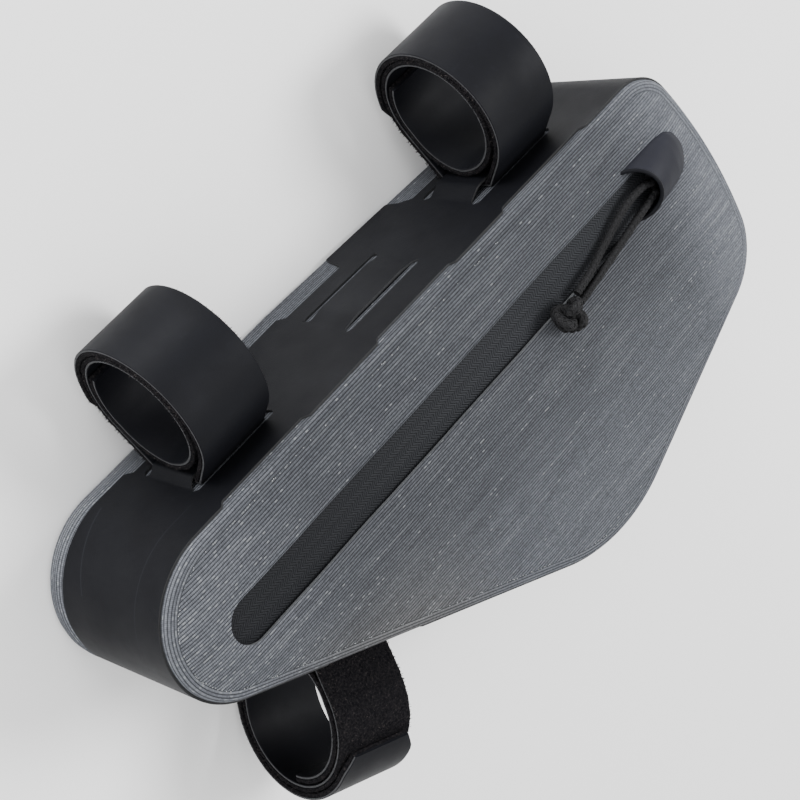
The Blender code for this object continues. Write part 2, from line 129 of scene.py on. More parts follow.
# Zip and hood
ZIP_DROP = 0.0329
ZIP_HALF = 0.0082
ZIP_START = 0.0205
ZIP_END = 0.2516
TAPE_MARGIN = 0.0025
HOOD_MOUTH = 0.2302
HOOD_LENGTH = 0.0288
HOOD_DROP = 0.0311
HOOD_HALF = 0.0104
HOOD_HEIGHT = 0.0080
HOOD_LEAN = 0.0075
HoodRow = namedtuple("HoodRow", "name along width height")
HOOD_ROWS = (
    HoodRow("mouth", 0.00, 1.00, 1.00),
    HoodRow("crest", 0.30, 1.00, 0.86),
    HoodRow("slope", 0.62, 0.99, 0.66),
    HoodRow("shoulder", 0.84, 0.89, 0.42),
    HoodRow("heel", 0.96, 0.62, 0.24),
    HoodRow("tip", 1.00, 0.36, 0.19),
)

# Pull cord: the same routes as the solids, x from the nose, y from the top edge and height
# over the crowned panel
CORD_RADIUS = 0.0015
CORD_ROUTES = {
    "pull_cord_upper": (
        (0.2392, -0.0314, 0.0026),
        (0.2340, -0.0300, 0.0022),
        (0.2240, -0.0312, 0.0012),
        (0.2090, -0.0362, 0.0008),
        (0.1990, -0.0384, 0.0019),
        (0.1895, -0.0398, 0.0024),
    ),
    "pull_cord_lower": (
        (0.2392, -0.0354, 0.0026),
        (0.2335, -0.0368, 0.0021),
        (0.2240, -0.0384, 0.0020),
        (0.2110, -0.0408, 0.0020),
        (0.2000, -0.0424, 0.0021),
        (0.1895, -0.0436, 0.0024),
    ),
}
KNOT_PLACE = (0.1807, -0.0417)
KNOT_SIZE = (0.0165, 0.0140, 0.0100)

# Camera: where it stands, what it looks at and its roll, with the photograph's field of view
CAMERA_PLACE = (-0.1775, 0.3525, 0.5016)
CAMERA_TARGET = (0.13015, -0.04262, 0.0)
CAMERA_ROLL = math.radians(103.95)
CAMERA_LENS = 95.85


# Mesh helpers
def to_row(x, y, z):
    return Vector((x, y, z)) + SHIFT


def finish_mesh(name, bm, material, smooth_angle=40):
    """Makes an object of the mesh, rides it on the root body and gives it its material."""
    bmesh.ops.recalc_face_normals(bm, faces=bm.faces)
    mesh = bpy.data.meshes.new(name)
    bm.to_mesh(mesh)
    bm.free()
    materials = material if isinstance(material, (list, tuple)) else [material]
    for one in materials:
        mesh.materials.append(one)
    mesh.shade_smooth()
    mesh.set_sharp_from_angle(angle=math.radians(smooth_angle))
    thing = bpy.data.objects.new(name, mesh)
    bpy.context.scene.collection.objects.link(thing)
    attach(thing, "root")
    return thing


def skin_rings(bm, rings, uv, closed_ring=True, closed_row=False, slot_index=0):
    """Joins a list of vertex rings with quads. uv gives (u, v) for ring i and corner j."""
    layer = bm.loops.layers.uv.verify()
    count = len(rings)
    for i in range(count if closed_row else count - 1):
        a, b = rings[i], rings[(i + 1) % count]
        width = len(a)
        for j in range(width if closed_ring else width - 1):
            k = (j + 1) % width
            face = bm.faces.new((a[j], a[k], b[k], b[j]))
            face.material_index = slot_index(j) if callable(slot_index) else slot_index
            places = ((i, j), (i, j + 1), (i + 1, j + 1), (i + 1, j))
            for loop, spot in zip(face.loops, places):
                loop[layer].uv = uv(*spot)


# Node helpers
class Nodes:
    """A small writer of material nodes: each call adds one node and returns its output."""

    def __init__(self, name):
        self.material = bpy.data.materials.new(name)
        self.material.use_nodes = True
        self.tree = self.material.node_tree
        self.shader = self.tree.nodes["Principled BSDF"]

    def add(self, kind, inputs=(), output=0, **settings):
        node = self.tree.nodes.new(kind)
        for key, value in settings.items():
            setattr(node, key, value)
        for key, value in dict(inputs).items():
            self.put(node.inputs[key], value)
        return node.outputs[output]

    def put(self, socket, value):
        if isinstance(value, bpy.types.NodeSocket):
            self.tree.links.new(value, socket)
        else:
            socket.default_value = value

    def math(self, operation, a, b=0.0, c=0.0, clamp=False):
        return self.add(
            "ShaderNodeMath", {0: a, 1: b, 2: c}, operation=operation, use_clamp=clamp
        )

    def place(self, scale=(1, 1, 1), source="Object", offset=(0, 0, 0)):
        coords = self.tree.nodes.new("ShaderNodeTexCoord").outputs[source]
        return self.add("ShaderNodeMapping", {0: coords, "Scale": scale, "Location": offset})

    def axis(self, vector, name):
        node = self.tree.nodes.new("ShaderNodeSeparateXYZ")
        self.tree.links.new(vector, node.inputs[0])
        return node.outputs[name]

    def noise(self, vector, scale=1.0, detail=2.0, roughness=0.5, output=0):
        inputs = {"Vector": vector, "Scale": scale, "Detail": detail, "Roughness": roughness}
        return self.add("ShaderNodeTexNoise", inputs, output)

    def ramp(self, value, stops):
        node = self.tree.nodes.new("ShaderNodeValToRGB")
        self.tree.links.new(value, node.inputs[0])
        elements = node.color_ramp.elements
        while len(elements) < len(stops):
            elements.new(0.5)
        for element, (position, color) in zip(elements, stops):
            element.position = position
            element.color = (*color, 1.0) if len(color) == 3 else color
        return node.outputs[0]

    def span(self, value, low, high, to_low=0.0, to_high=1.0, smooth=False):
        kind = "SMOOTHSTEP" if smooth else "LINEAR"
        inputs = {0: value, 1: low, 2: high, 3: to_low, 4: to_high}
        return self.add("ShaderNodeMapRange", inputs, interpolation_type=kind)

    def mix(self, factor, a, b, blend="MIX"):
        node = self.tree.nodes.new("ShaderNodeMix")
        node.data_type = "RGBA"
        node.blend_type = blend
        self.put(node.inputs[0], factor)
        self.put(node.inputs[6], a)
        self.put(node.inputs[7], b)
        return node.outputs[2]

    def bump(self, height, distance, strength=1.0, normal=None):
        inputs = {"Height": height, "Distance": distance, "Strength": strength}
        if normal is not None:
            inputs["Normal"] = normal
        return self.add("ShaderNodeBump", inputs)

    def set(self, **values):
        for key, value in values.items():
            self.put(self.shader.inputs[key.replace("_", " ")], value)
        return self.material


def rgba(r, g, b):
    return (r, g, b, 1.0)


# Materials
RIB_PITCH = 0.00108
SOFT_GLOSS = 0.07


def ribbed_cloth(name, rib_source, tint):
    """Grey pack cloth. Ribs repeat along the second coordinate; slubs are pale dashes in them."""
    n = Nodes(name)
    coords = n.place(source=rib_source)
    along, across = n.axis(coords, "X"), n.axis(coords, "Y")
    wander = n.noise(n.place((9, 22, 9), rib_source), 1.0, 2.0)
    across_bent = n.math("MULTIPLY_ADD", wander, 0.0008, across)
    turns = n.math("MULTIPLY", across_bent, math.pi / RIB_PITCH)
    wave = n.math("ABSOLUTE", n.math("SINE", turns))
    rib_number = n.math("FLOOR", n.math("DIVIDE", across_bent, RIB_PITCH))
    # Where on the bag this is: the nose, the lower part and the tail are lighter, partly the
    # cloth's own tone and partly painted light where the panel curves toward the lamps
    x, y = n.axis(n.place(), "X"), n.axis(n.place(), "Y")
    nose = n.span(x, -0.060, -0.130, smooth=True)
    low = n.span(y, -0.005, -0.070, smooth=True)
    tail = n.span(x, 0.085, 0.136, smooth=True)
    # Each rib has its own tone, and the tone drifts along it
    tone_place = n.add("ShaderNodeCombineXYZ", {
        0: n.math("MULTIPLY", rib_number, 2.37),
        1: n.math("MULTIPLY", along, 26.0),
    })
    rib_tone = n.noise(tone_place, 1.0, 3.0, 0.65)
    # Slubs: pale dashes as wide as one rib, more of them at the nose
    shift = n.add("ShaderNodeTexWhiteNoise", {"W": rib_number}, noise_dimensions="1D")
    cell = n.math("FLOOR", n.math("MULTIPLY_ADD", along, 900.0, n.math("MULTIPLY", shift, 9.0)))
    slub_place = n.add("ShaderNodeCombineXYZ", {0: rib_number, 1: cell})
    slub = n.add("ShaderNodeTexWhiteNoise", {"Vector": slub_place}, noise_dimensions="2D")
    row_place = n.add("ShaderNodeCombineXYZ", {
        0: n.math("MULTIPLY", rib_number, 1.73),
        1: n.math("MULTIPLY", along, 12.0),
    })
    rows = n.span(n.noise(row_place, 1.0, 1.0, 0.5), 0.58, 0.72)
    rarity = n.math("MULTIPLY_ADD", n.math("MULTIPLY_ADD", nose, 0.6, rows), -0.13, 0.999)
    slub_mask = n.math("GREATER_THAN", slub, rarity)
    slub_mask = n.math("MULTIPLY", slub_mask, n.span(wave, 0.55, 0.85))
    # Fine cross threads, plainer at the tail
    cross = n.math("ABSOLUTE", n.math("SINE", n.math("MULTIPLY", along, math.pi / 0.00062)))
    depth = n.math("MULTIPLY_ADD", tail, 0.22, 0.30)
    threads = n.math("SUBTRACT", 1.0, n.math("MULTIPLY", depth, n.math("SUBTRACT", 1.0, cross)))
    broad = n.noise(n.place((9, 9, 9)), 1.0, 3.0, 0.5)
    dark, middle, light, warm = tint
    base = n.ramp(rib_tone, ((0.32, dark), (0.52, middle), (0.70, light)))
    base = n.mix(n.span(broad, 0.40, 0.66, 0.0, 0.22), base, rgba(*light))
    warmth = n.math("MULTIPLY", low, n.span(x, -0.010, -0.100, smooth=True))
    base = n.mix(n.math("MULTIPLY", warmth, 0.75), base, rgba(*warm))
    # Painted light: the nose, the lower part and most of all the tail edge are brightened in the
    # colour, partly standing for the cloth's own paler tone
    tone_and_painted_light = n.math("MAXIMUM", n.math("MULTIPLY", nose, 0.62), n.math("MULTIPLY", low, 0.50))
    tone_and_painted_light = n.math("MAXIMUM", tone_and_painted_light, n.math("MULTIPLY", tail, 1.05))
    # Painted shade: the rib grooves are darkened in the colour, less at the tail where painted
    # light falls; random flecks vary this shade
    groove_shade_depth = n.math("MULTIPLY_ADD", tail, 0.50, 0.24)
    painted_groove_shade = n.span(wave, 0.0, 0.85, groove_shade_depth, 1.0, smooth=True)
    fleck = n.noise(n.place((1100, 1100, 1100)), 1.0, 2.0, 0.6)
    painted_groove_shade = n.math("MULTIPLY", painted_groove_shade, n.span(fleck, 0.30, 0.70, 0.72, 1.28))
    shade = n.math("MULTIPLY", n.math("MULTIPLY", painted_groove_shade, threads), n.math("ADD", tone_and_painted_light, 1.0))
    base = n.mix(1.0, base, shade, "MULTIPLY")
    base = n.mix(n.math("MULTIPLY", slub_mask, 0.45), base, rgba(0.24, 0.252, 0.262))
    height = n.math("MULTIPLY_ADD", cross, 0.25, n.math("POWER", wave, 0.8))
    height = n.math("MULTIPLY_ADD", slub_mask, 0.25, height)
    normal = n.bump(height, 0.00030, 0.9)
    return n.set(
        Base_Color=base, Roughness=0.75, Normal=normal, Specular_IOR_Level=SOFT_GLOSS
    )


CLOTH_TINT = (
    (0.052, 0.055, 0.063),
    (0.068, 0.072, 0.082),
    (0.092, 0.097, 0.107),
    (0.112, 0.105, 0.092),
)


def band_rubber(name, color, light, roughness=0.52, embossed=False):
    """Matte rubber sheet with a fine grain and faint smudges, and the band's embossed lines drawn
    as painted highlight lines.
    """
    n = Nodes(name)
    grain = n.noise(n.place((2600, 2600, 2600)), 1.0, 2.0, 0.6)
    smudge = n.noise(n.place((38, 38, 38)), 1.0, 4.0, 0.6)
    fine = n.noise(n.place((420, 420, 420)), 1.0, 3.0, 0.6)
    base = n.mix(n.span(smudge, 0.35, 0.70, 0.0, 0.6), rgba(*color), rgba(*light))
    base = n.mix(n.span(fine, 0.62, 0.76, 0.0, 0.20), base, rgba(*[c * 1.6 for c in light]))
    height = n.math("MULTIPLY_ADD", fine, 0.6, grain)
    if embossed:
        coords = n.place(source="UV")
        run, z = n.axis(coords, "X"), n.axis(coords, "Y")
        wrapped = n.math("MULTIPLY", n.math("GREATER_THAN", run, PERIMETER / 2), PERIMETER)
        run = n.math("SUBTRACT", run, wrapped)
        near_run = n.math("COMPARE", run, -0.0147, 0.0242)
        far_run = n.math("COMPARE", run, -0.0153, 0.0137)
        far_line = n.math("MULTIPLY_ADD", n.span(run, -0.029, -0.0016), -0.0062, SHIFT.z - 0.0108)
        near_line = n.math("COMPARE", z, SHIFT.z + 0.0158, 0.00022)
        far_line = n.math("COMPARE", n.math("SUBTRACT", z, far_line), 0.0, 0.00024)
        near_line = n.math("MULTIPLY", near_line, near_run)
        far_line = n.math("MULTIPLY", far_line, far_run)
        # Painted highlights: the embossed lines are drawn as lighter lines in the colour, with no
        # relief
        base = n.mix(n.math("MULTIPLY", near_line, 0.5), base, rgba(*[c * 1.9 for c in light]))
        base = n.mix(n.math("MULTIPLY", far_line, 0.6), base, rgba(*[c * 2.2 for c in light]))
    rough = n.span(smudge, 0.3, 0.7, roughness + 0.08, roughness - 0.06)
    normal = n.bump(height, 0.00006, 0.6)
    return n.set(
        Base_Color=base, Roughness=rough, Normal=normal, Specular_IOR_Level=SOFT_GLOSS
    )


def cut_edge(name, color):
    """The pale cut edge of a sheet, rough and slightly fibrous."""
    n = Nodes(name)
    fine = n.noise(n.place((900, 900, 900)), 1.0, 3.0, 0.7)
    base = n.ramp(fine, ((0.35, [c * 0.55 for c in color]), (0.65, color)))
    return n.set(Base_Color=base, Roughness=0.85, Normal=n.bump(fine, 0.0001, 0.8))


def fuzzy(name):
    """Black loop pile with brownish tips."""
    n = Nodes(name)
    fine = n.noise(n.place((1300, 1300, 1300)), 1.0, 3.0, 0.75)
    clumps = n.noise(n.place((420, 420, 420)), 1.0, 3.0, 0.6)
    base = n.ramp(fine, ((0.40, (0.003, 0.003, 0.004)), (0.62, (0.012, 0.011, 0.012)),
                         (0.80, (0.055, 0.045, 0.042))))
    height = n.math("MULTIPLY_ADD", clumps, 0.8, fine)
    normal = n.bump(height, 0.0006, 1.0)
    return n.set(Base_Color=base, Roughness=0.95, Normal=normal, Specular_IOR_Level=0.05)


def fibre(name):
    """The single fibres of the pile, black with a soft gloss."""
    n = Nodes(name)
    fine = n.noise(n.place((700, 700, 700)), 1.0, 2.0, 0.7)
    base = n.ramp(fine, ((0.45, (0.005, 0.005, 0.006)), (0.60, (0.018, 0.017, 0.018)),
                         (0.74, (0.090, 0.075, 0.070))))
    return n.set(Base_Color=base, Roughness=0.7, Specular_IOR_Level=SOFT_GLOSS)


def zip_coating(name):
    """Coated zip tape: fine herringbone under the coating, and a thin seam along the middle."""
    n = Nodes(name)
    coords = n.place(source="UV")
    across, along = n.axis(coords, "Y"), n.axis(coords, "X")
    zig = n.math("PINGPONG", across, 0.0020)
    slant = n.math("MULTIPLY_ADD", zig, 1.2, along)
    twill = n.math("ABSOLUTE", n.math("SINE", n.math("MULTIPLY", slant, math.pi / 0.00125)))
    grain = n.noise(n.place((1800, 1800, 1800)), 1.0, 2.0, 0.6)
    tail = n.span(n.axis(n.place(), "X"), -0.090, 0.060, 0.45, 1.0, smooth=True)
    show = n.math("MULTIPLY", n.span(twill, 0.1, 0.8, smooth=True), tail)
    base = n.mix(show, rgba(0.0034, 0.0036, 0.0044), rgba(0.026, 0.0275, 0.031))
    base = n.mix(n.span(grain, 0.58, 0.75, 0.0, 0.25), base, rgba(0.055, 0.057, 0.062))
    dots = n.math("ABSOLUTE", n.math("SINE", n.math("MULTIPLY", along, math.pi / 0.0013)))
    seam = n.math("MULTIPLY", n.span(across, 0.0006, 0.0002), n.span(dots, 0.4, 0.8))
    base = n.mix(n.math("MULTIPLY", seam, 0.3), base, rgba(0.004, 0.004, 0.005))
    height = n.math("MULTIPLY_ADD", grain, 0.5, n.math("MULTIPLY", twill, tail))
    normal = n.bump(height, 0.00018, 0.8)
    return n.set(
        Base_Color=base, Roughness=0.55, Normal=normal, Specular_IOR_Level=SOFT_GLOSS
    )


def braid(name):
    """Black braided cord yarn: fine threads run along each yarn."""
    n = Nodes(name)
    coords = n.place(source="UV")
    threads = n.math("SINE", n.math("MULTIPLY", n.axis(coords, "Y"), 5 * 2 * math.pi))
    fine = n.noise(n.place((1600, 1600, 1600)), 1.0, 2.0, 0.6)
    base = n.ramp(fine, ((0.35, (0.0025, 0.0025, 0.003)), (0.70, (0.009, 0.009, 0.0105))))
    height = n.math("MULTIPLY_ADD", fine, 0.7, threads)
    normal = n.bump(height, 0.00010, 0.8)
    return n.set(Base_Color=base, Roughness=0.62, Normal=normal, Specular_IOR_Level=0.2)


def dark_metal(name):
    n = Nodes(name)
    smudge = n.noise(n.place((260, 260, 260)), 1.0, 3.0)
    base = n.mix(n.span(smudge, 0.4, 0.7), rgba(0.02, 0.02, 0.022), rgba(0.05, 0.05, 0.055))
    rough = n.span(smudge, 0.3, 0.7, 0.32, 0.5)
    return n.set(Base_Color=base, Roughness=rough, Metallic=0.8)


# Camera, floor and lights
def make_camera():
    camera = bpy.data.objects.new("camera", bpy.data.cameras.new("camera"))
    bpy.context.scene.collection.objects.link(camera)
    place, target = to_row(*CAMERA_PLACE), to_row(*CAMERA_TARGET)
    back = (place - target).normalized()
    side = Vector((-back.y, back.x, 0)).normalized()
    up = back.cross(side)
    right = side * math.cos(CAMERA_ROLL) + up * math.sin(CAMERA_ROLL)
    rolled = back.cross(right)
    turn = Matrix((right, rolled, back)).transposed()
    camera.matrix_world = Matrix.Translation(place) @ turn.to_4x4()
    camera.data.lens = CAMERA_LENS
    camera.data.sensor_width = 36.0
    camera.data.clip_start, camera.data.clip_end = 0.05, 20.0
    bpy.context.scene.camera = camera
    return right, rolled, back


def make_light(name, place, target, size, power, color=(1, 1, 1)):
    data = bpy.data.lights.new(name, "AREA")
    data.shape = "DISK"
    data.size = size
    data.energy = power
    data.color = color
    light = bpy.data.objects.new(name, data)
    bpy.context.scene.collection.objects.link(light)
    light.location = place
    aim = Vector(target) - Vector(place)
    light.rotation_euler = aim.to_track_quat("-Z", "Y").to_euler()


def make_stage(right, up, back):
    bm = bmesh.new()
    bmesh.ops.create_grid(bm, x_segments=1, y_segments=1, size=3.0)
    mesh = bpy.data.meshes.new("floor")
    bm.to_mesh(mesh)
    bm.free()
    n = Nodes("pale_floor")
    mottle = n.noise(n.place((3, 3, 3)), 1.0, 2.0)
    base = n.mix(n.span(mottle, 0.4, 0.6, 0.0, 1.0), rgba(0.94, 0.94, 0.94), rgba(0.95, 0.95, 0.95))
    mesh.materials.append(n.set(Base_Color=base, Roughness=0.9))
    floor = bpy.data.objects.new("floor", mesh)
    floor.location = (0, 0, -0.0002)
    bpy.context.scene.collection.objects.link(floor)
    world = bpy.data.worlds.new("soft_white")
    world.use_nodes = True
    world.node_tree.nodes["Background"].inputs[0].default_value = (1.0, 1.0, 1.0, 1.0)
    world.node_tree.nodes["Background"].inputs[1].default_value = 1.35
    bpy.context.scene.world = world
    target = Vector((0.0, 0.0, 0.03))
    lights = (
        ("key", -0.55 * right + 0.80 * up + 0.55 * back, 0.7, 23.0),
        ("side", 0.95 * right + 0.25 * up + 0.35 * back, 0.5, 12.0),
        ("fill", -0.7 * right - 0.5 * up + 0.6 * back, 0.9, 10.0),
    )
    for name, direction, size, power in lights:
        place = target + direction.normalized() * 1.1
        place.z = max(place.z, 0.12)
        make_light(name, place, target, size, power)


# Side outline
Station = namedtuple("Station", "point normal run edge distance")


def corner_points():
    return [Vector((c.along * LENGTH, -c.drop * HEIGHT)) for c in CORNERS]


def corner_turn(index):
    points = corner_points()
    here = points[index]
    into = (here - points[index - 1]).normalized()
    out = (points[(index + 1) % len(points)] - here).normalized()
    return into.angle(out)


def full_setback(index):
    return CORNERS[index].radius * HEIGHT * math.tan(corner_turn(index) / 2)


def arc_setback(index):
    points = corner_points()
    full = full_setback(index)
    limits = [full]
    for near in (index - 1, (index + 1) % len(points)):
        edge = (points[near] - points[index]).length
        limits.append(ROUNDING_SHARE * edge * full / (full + full_setback(near)))
    return min(limits)


def edge_frame(start_name):
    names = [c.name for c in CORNERS]
    index = names.index(start_name)
    points = corner_points()
    start, end = points[index], points[(index + 1) % len(points)]
    along = (end - start).normalized()
    return start, along, (end - start).length, Vector((-along.y, along.x))


def outline(step):
    """Closely spaced points, normals and distances run round the side outline, clockwise."""
    stations, run = [], 0.0
    for index, corner in enumerate(CORNERS):
        start, along, length, normal = edge_frame(corner.name)
        following = (index + 1) % len(CORNERS)
        first, last = arc_setback(index), arc_setback(following)
        straight = length - last - first
        pieces = max(2, math.ceil(straight / step))
        for k in range(pieces):
            d = first + straight * k / pieces
            spot = run + straight * k / pieces
            stations.append(Station(start + along * d, normal, spot, corner.name, d))
        run += straight
        turn = corner_turn(following)
        radius = last / math.tan(turn / 2)
        centre = start + along * (first + straight) - normal * radius
        pieces = max(6, math.ceil(radius * turn / step))
        for k in range(pieces):
            angle = math.atan2(normal.y, normal.x) - turn * k / pieces
            out = Vector((math.cos(angle), math.sin(angle)))
            spot = run + radius * turn * k / pieces
            stations.append(Station(centre + out * radius, out, spot, "", 0.0))
        run += radius * turn
    return stations, run


OUTLINE, PERIMETER = outline(CLOTH_STEP)
BAND_OUTLINE, _ = outline(BAND_STEP)


def taper_at(point, z):
    """How far the rim is drawn in at a height, from nothing at the zip side."""
    top = CORNERS[1].along
    along = (point.x / LENGTH - TAPER_START) / (top - TAPER_START)
    upper = 1 + point.y / (CORNERS[3].drop * HEIGHT)
    share = min(1.0, max(0.0, along)) * max(0.0, upper)
    return TAPER_INSET * share * (HALF - z) / (2 * HALF)


def inset_point(station, inset, z):
    place = station.point - station.normal * (inset + taper_at(station.point, z))
    return to_row(place.x, place.y, z)


def ease(value):
    value = min(1.0, max(0.0, value))
    return value * value * (3 - 2 * value)


# Grey cloth
STRIP_WALL = 0.0007
STRIP_STEP = 0.0001
SEAM_SHOWS = 0.62
NOSE_BULGE = 0.0010


def soft_dent(x, y):
    """A gentle unevenness of the stuffed side, in metres."""
    broad = noise.noise(Vector((x * 22, y * 30, 1.7)))
    fine = noise.noise(Vector((x * 60, y * 75, 5.2)))
    return 0.00045 * broad + 0.00012 * fine


def build_gusset_cloth(material):
    """The rim strip: it wraps both rounded edges and laps onto each side in a thin welded step."""
    profile = [(SEAM_INSET + 0.0002, HALF - 0.0004), (SEAM_INSET, HALF + STRIP_STEP)]
    steps = 8
    for k in range(3):
        share = (k + 1) / 4
        inset = SEAM_INSET + (EDGE_RADIUS - SEAM_INSET) * share
        profile.append((inset, HALF + STRIP_STEP * (1 - share**2)))
    for k in range(steps + 1):
        angle = math.pi / 2 * k / steps
        inset = EDGE_RADIUS * (1 - math.sin(angle))
        profile.append((inset, HALF - EDGE_RADIUS * (1 - math.cos(angle))))
    wall = HALF - EDGE_RADIUS
    for k in range(1, 18):
        profile.append((0.0, wall - 2 * wall * k / 18))
    for k in range(steps + 1):
        angle = math.pi / 2 * (1 - k / steps)
        inset = EDGE_RADIUS * (1 - math.sin(angle))
        profile.append((inset, -HALF + EDGE_RADIUS * (1 - math.cos(angle))))
    profile.append((SEAM_INSET, -HALF))
    inner = [(inset + STRIP_WALL * 1.6, z * (HALF - 0.0012) / HALF) for inset, z in profile[::-1]]
    loop = profile + inner
    runs = [0.0]
    for a, b in zip(loop, loop[1:]):
        runs.append(runs[-1] + math.dist(a, b))
    runs.append(runs[-1] + 0.001)
    bm = bmesh.new()
    rings = []
    for station in OUTLINE:
        ring = []
        nose = ease(1 - station.point.x / (0.22 * LENGTH))
        for inset, z in loop:
            below = min(1.0, max(0.0, (-z - BAND_FAR) / (HALF - BAND_FAR)))
            bulge = NOSE_BULGE * nose * math.sin(below * math.pi)
            ring.append(bm.verts.new(inset_point(station, inset - bulge, z)))
        rings.append(ring)
    spots = [s.run for s in OUTLINE] + [PERIMETER]
    skin_rings(bm, rings, lambda i, j: (spots[i], runs[j]), closed_row=True)
    thing = finish_mesh("gusset_cloth", bm, material)
    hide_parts("gusset")
    return thing


def window_point(x, y, half=ZIP_HALF):
    centre_x = min(max(x, ZIP_START + ZIP_HALF), ZIP_END - ZIP_HALF)
    centre = Vector((centre_x, -ZIP_DROP))
    return centre + (Vector((x, y)) - centre).normalized() * half


def panel_height(x, y, share):
    """Height of the zip side over the middle plane; share runs from its seam to the window."""
    rise = min(1.0, share / CROWN_SHARE)
    crown = PANEL_CROWN * math.sin(rise * math.pi / 2)
    return HALF + crown + soft_dent(x, y) * math.sin(min(1.0, share * 1.6) * math.pi / 2)


def build_zip_side(material, edge_material):
    """The crowned side with a cut edge round the zip window, coloured dark as painted shade."""
    rows = 46
    bm = bmesh.new()
    rings = []
    for station in OUTLINE:
        border = station.point - station.normal * SEAM_INSET
        edge = window_point(border.x, border.y)
        ring = []
        for k in range(rows + 1):
            share = k / rows
            p = border.lerp(edge, share)
            z = panel_height(p.x, p.y, share)
            ring.append(bm.verts.new(to_row(p.x, p.y, z)))
        lip = ring[-1].co + Vector((0, 0, 0.00002))
        for depth in (0.00025, PANEL_WALL):
            ring.append(bm.verts.new(lip - Vector((0, 0, depth))))
        for k in range(rows - 3, -1, -6):
            share = k / rows
            p = border.lerp(edge, share)
            z = panel_height(p.x, p.y, share) - PANEL_WALL
            ring.append(bm.verts.new(to_row(p.x, p.y, z)))
        rings.append(ring)
    skin_rings(bm, rings, lambda i, j: (0.0, 0.0), closed_ring=False, closed_row=True,
               slot_index=lambda j: 1 if j in (rows, rows + 1) else 0)
    thing = finish_mesh("zip_side_cloth", bm, [material, edge_material], 50)
    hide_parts("zip_side_panel")
    return thing


def build_seam(material):
    """Pale specks of cut thread along the seam, where the side's ribs start."""
    rng = np.random.default_rng(4)
    bm = bmesh.new()
    for station in BAND_OUTLINE:
        if rng.random() > 0.26 or station.point.x > SEAM_SHOWS * LENGTH:
            continue
        inset = SEAM_INSET + rng.uniform(-0.0001, 0.0004)
        centre = inset_point(station, inset, HALF + 0.0003)
        out = Vector((*station.normal, 0))
        side = Vector((out.y, -out.x, 0))
        reach = (side * rng.uniform(0.00015, 0.00035), out * rng.uniform(0.0001, 0.0003))
        ring = [centre + reach[0], centre + reach[1], centre - reach[0], centre - reach[1]]
        ring = [bm.verts.new(spot) for spot in ring]
        for lift in (0.0002, -0.0002):
            tip = bm.verts.new(centre + Vector((0, 0, lift)))
            for k in range(4):
                bm.faces.new((ring[k], ring[(k + 1) % 4], tip))
    return finish_mesh("seam_specks", bm, material)


def build_plain_side(material):
    """The flat side that the bag lies on."""
    bm = bmesh.new()
    rings = []
    middle = Vector((LENGTH * 0.52, -HEIGHT * 0.45))
    for depth in (0.0, -0.0011):
        ring = []
        for station in OUTLINE:
            inset = SEAM_INSET - 0.0006
            ring.append(bm.verts.new(inset_point(station, inset, -HALF + 0.0001 - depth)))
        rings.append(ring)
    skin_rings(bm, rings, lambda i, j: (0.0, 0.0))
    for ring, depth in zip(rings, (0.0, -0.0011)):
        hub = bm.verts.new(to_row(middle.x, middle.y, -HALF + 0.0001 - depth))
        for j in range(len(ring)):
            bm.faces.new((ring[j], ring[(j + 1) % len(ring)], hub))
    thing = finish_mesh("plain_side_cloth", bm, material)
    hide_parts("plain_side_panel")
    return thing


# Rubber band
def pair_range(pair):
    length = edge_frame(EDGE_STARTS[pair.edge])[2]
    middle = pair.centre * length
    return middle - pair.length / 2, middle + pair.length / 2


def pair_near(station, reach):
    """The slot pair whose stretch, widened by reach, holds this station, and how deep inside."""
    for pair in SLOT_PAIRS:
        if EDGE_STARTS[pair.edge] == station.edge:
            low, high = pair_range(pair)
            inside = min(station.distance - low, high - station.distance)
            if inside > -reach:
                return pair, inside
    return None, 0.0


def tab_range():
    named = {pair.name: pair for pair in SLOT_PAIRS}
    low = pair_range(named["spare"])[1] - TAB_OVERLAP
    return low, pair_range(named["tail"])[0] - 2 * NOTCH_RUN


def band_edges(station):
    """How far the band reaches to the zip side and to the plain side."""
    pair, inside = pair_near(station, NOTCH_RUN)
    notch = ease((inside + NOTCH_RUN) / NOTCH_RUN) if pair else 0.0
    near = BAND_NEAR - NEAR_NOTCH * notch
    far = BAND_FAR - FAR_NOTCH * notch
    if station.edge == EDGE_STARTS["top"]:
        low, high = tab_range()
        inside = min(station.distance - low, high - station.distance)
        far += (TAB_FAR - far) * ease((inside + NOTCH_RUN) / NOTCH_RUN)
    return near, far


def bridge_lift(pair, distance):
    """How high the bridge stands: it eases from each slot's end up to the strap's edge."""
    low, high = pair_range(pair)
    if not pair.strap:
        return SPARE_LIFT * ease(min(distance - low, high - distance) / LONGEST_RAMP)
    strap = next(s for s in STRAPS if s.slots == pair.name)
    middle = (low + high) / 2 + strap.shift
    before = min(LONGEST_RAMP, middle - STRAP_WIDTH / 2 - low)
    after = min(LONGEST_RAMP, high - middle - STRAP_WIDTH / 2)
    share = min((distance - low) / before, (high - distance) / after)
    return (STRAP_THICK + GAP) * ease(share)


